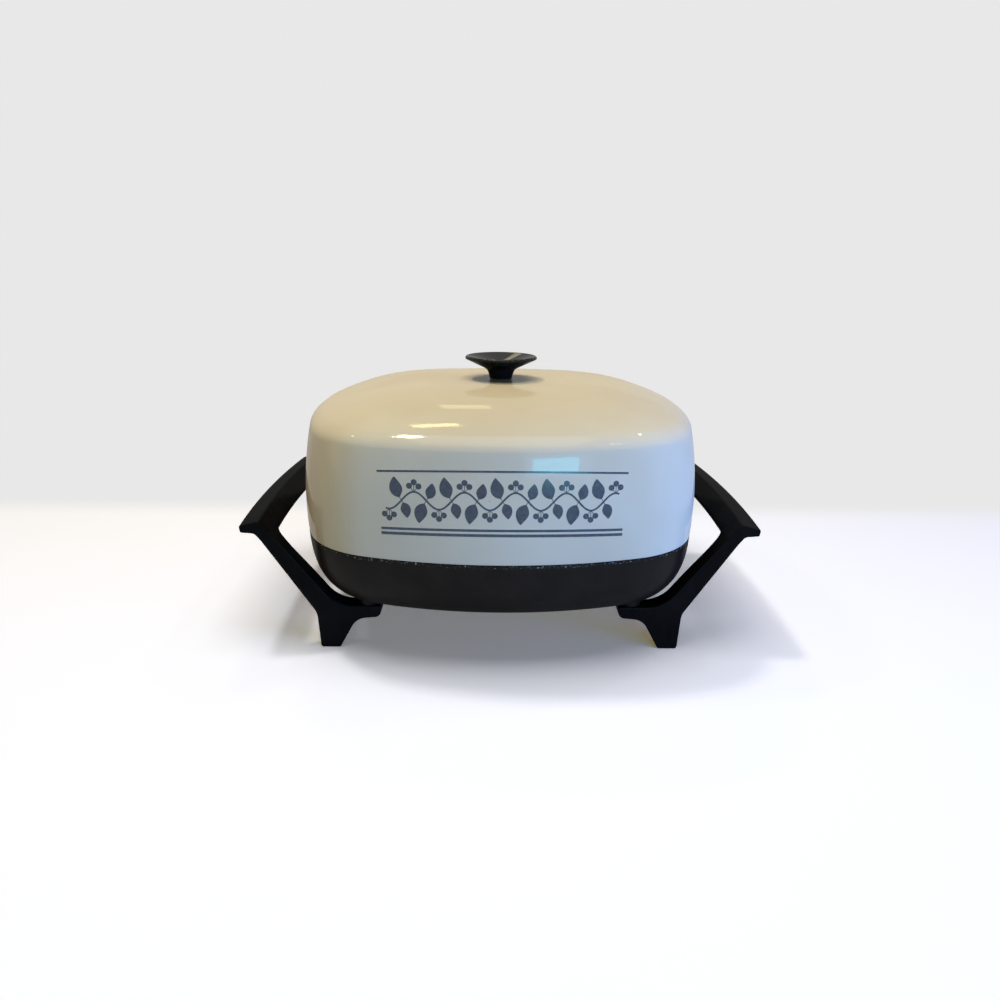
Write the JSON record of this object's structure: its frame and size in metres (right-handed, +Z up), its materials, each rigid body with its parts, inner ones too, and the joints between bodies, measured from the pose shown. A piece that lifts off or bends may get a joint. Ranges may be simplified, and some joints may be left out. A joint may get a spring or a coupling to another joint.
{
  "type": "electric skillet",
  "caption": "Square electric frying pan with bowed sides, moulded handles that run down into the feet, a socket for a plug-in heat control and a tall lift-off domed lid.",
  "frame": {"origin": "on the table, midway between the feet", "axes": "+X from the left handle to the right handle, which has the terminals below it; -Y the printed front; +Z up"},
  "size_m": [0.3888, 0.312, 0.2078],
  "materials": {
    "pan_coating": "dark satin non-stick coating on cast aluminium",
    "element_sheath": "dulled, heat-tinted sheath",
    "terminal_metal": "nickel plated",
    "ceramic": "unglazed white ceramic",
    "guard_steel": "bright stamped sheet",
    "screw_steel": "zinc plated",
    "phenolic": "glossy black moulded phenolic",
    "lid_enamel": "glossy off-white baked enamel with a slate-blue printed band on the front",
    "brass": "turned",
    "fibre": "pressed fibre"
  },
  "bodies": {
    "base": {"pan": "pan_coating", "heating_element": "element_sheath", "front_terminal_pin": "terminal_metal", "rear_terminal_pin": "terminal_metal", "front_pin_insulator": "ceramic", "rear_pin_insulator": "ceramic", "probe_tube": "terminal_metal", "terminal_guard": "guard_steel", "guard_screws": "screw_steel", "left_handle": "phenolic", "right_handle": "phenolic", "left_handle_screws": "screw_steel", "right_handle_screws": "screw_steel", "left_handle_washers": "screw_steel", "right_handle_washers": "screw_steel"},
    "lid": {"lid_shell": "lid_enamel", "knob": "phenolic", "knob_insert": "brass", "knob_screw": "screw_steel", "knob_washer": "screw_steel", "knob_seat": "fibre"}
  },
  "joints": [
    {"name": "lid_lift", "type": "slide", "parent": "base", "child": "lid", "axis": [0, 0, 1], "range_m": [0, 0.25]}
  ]
}
